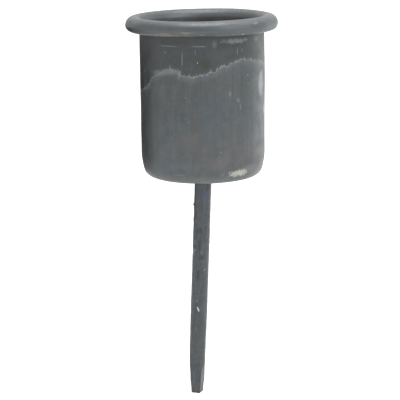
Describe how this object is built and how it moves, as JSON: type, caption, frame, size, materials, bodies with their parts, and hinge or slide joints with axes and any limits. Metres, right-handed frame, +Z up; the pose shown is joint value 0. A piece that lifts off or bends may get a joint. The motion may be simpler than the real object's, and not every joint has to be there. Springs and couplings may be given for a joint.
{
  "type": "spike candle holder",
  "caption": "Round sheet-metal candle cup with a rolled rim, welded on a thin leaning spike that is pushed into soil, moss or foam.",
  "frame": {"origin": "middle of the cup's flat underside, where the axis of the spike meets it", "axes": "+Z up the cup's axis and out of its mouth; the spike leans towards -X on its way down; -Y faces the picture's camera"},
  "size_m": [0.03, 0.03, 0.078],
  "materials": {
    "aged_zinc": "matt aged zinc with tide marks and pale oxide",
    "dark_rod": "dull dark grey zinc with rust brown at the point",
    "weld_metal": "rough rippled weld, same grey coat"
  },
  "bodies": {
    "root": {"cup_shell": "aged_zinc", "spike": "dark_rod", "weld_bead": "weld_metal"}
  },
  "joints": []
}
